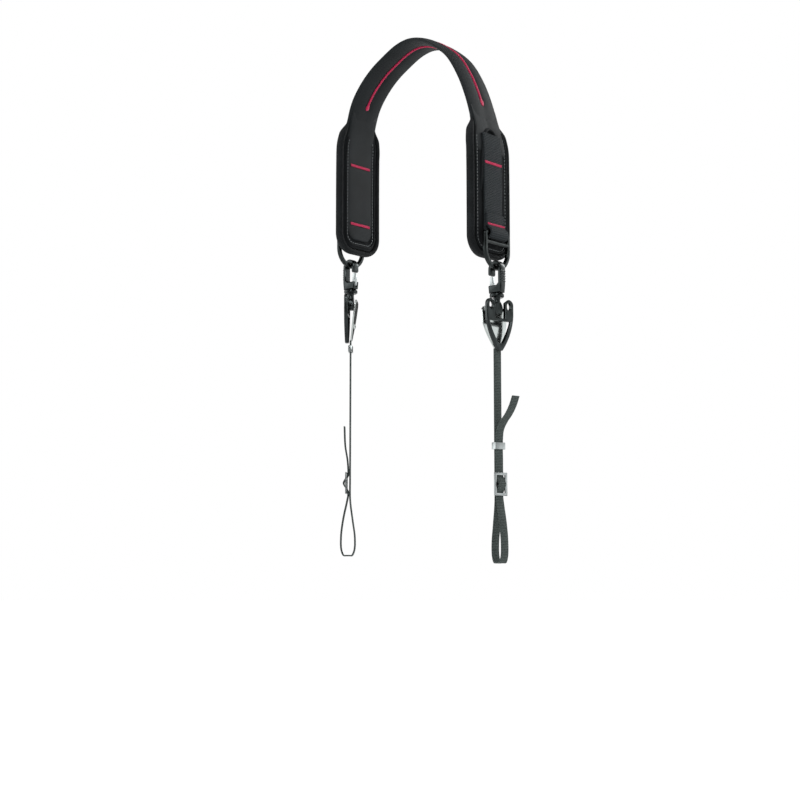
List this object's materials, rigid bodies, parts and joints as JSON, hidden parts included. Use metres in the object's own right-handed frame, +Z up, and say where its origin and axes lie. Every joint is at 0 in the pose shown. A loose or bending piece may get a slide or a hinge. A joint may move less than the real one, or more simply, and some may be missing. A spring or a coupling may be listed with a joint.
{
  "type": "camera neck strap",
  "caption": "Camera neck strap hanging from the nape, with a padded band, bound end pads, D-rings, trigger snap hooks on swivels, tapered metal links and narrow webbing ties for camera lugs",
  "frame": {"origin": "underside of the arch at its top, where the band rests on the nape", "axes": "+X across the arch towards the right leg, +Y across the width of the band, +Z up"},
  "size_m": [0.2123, 0.0558, 0.4817],
  "materials": {
    "neoprene": "smooth knitted face over foam",
    "pad_cloth": "fine knit over foam padding",
    "edge_binding": "ribbed binding tape",
    "webbing": "ribbed polyester webbing",
    "tie_webbing": "narrow ribbed webbing",
    "red_thread": "thick red sewing thread",
    "grey_thread": "grey sewing thread",
    "gunmetal": "black nickel plated casting",
    "polished_metal": "polished plate",
    "spring_steel": "bright gate"
  },
  "bodies": {
    "root": {"neck_band": "neoprene", "end_pad_left": "pad_cloth", "edge_piping_left": "edge_binding", "sewn_webbing_left": "webbing", "d_ring_left": "gunmetal", "hook_body_left": "gunmetal", "end_pad_right": "pad_cloth", "edge_piping_right": "edge_binding", "sewn_webbing_right": "webbing", "d_ring_right": "gunmetal", "hook_body_right": "gunmetal"},
    "gate_left": {"hook_gate_left": "spring_steel"},
    "lower_left": {"swivel_eye_left": "gunmetal", "link_frame_left": "gunmetal", "link_shell_left": "polished_metal", "lug_tie_left": "tie_webbing", "tie_keeper_left": "gunmetal", "tri_glide_left": "gunmetal"},
    "gate_right": {"hook_gate_right": "spring_steel"},
    "lower_right": {"swivel_eye_right": "gunmetal", "link_frame_right": "gunmetal", "link_shell_right": "polished_metal", "lug_tie_right": "tie_webbing", "tie_keeper_right": "gunmetal", "tri_glide_right": "gunmetal"}
  },
  "joints": [
    {"name": "gate_left_open", "type": "hinge", "parent": "root", "child": "gate_left", "pos_m": [-0.0819, 0, -0.2115], "axis": [0, -1, 0], "range_deg": [0, 22], "stiffness_Nm_per_rad": 0.05, "springref_deg": -5.73},
    {"name": "swivel_left", "type": "hinge", "parent": "root", "child": "lower_left", "pos_m": [-0.0867, 0, -0.2162], "axis": [0, 0, 1], "continuous": true},
    {"name": "gate_right_open", "type": "hinge", "parent": "root", "child": "gate_right", "pos_m": [0.0819, 0, -0.2365], "axis": [0, 1, 0], "range_deg": [0, 22], "stiffness_Nm_per_rad": 0.05, "springref_deg": -5.73},
    {"name": "swivel_right", "type": "hinge", "parent": "root", "child": "lower_right", "pos_m": [0.0867, 0, -0.2412], "axis": [0, 0, 1], "continuous": true}
  ]
}
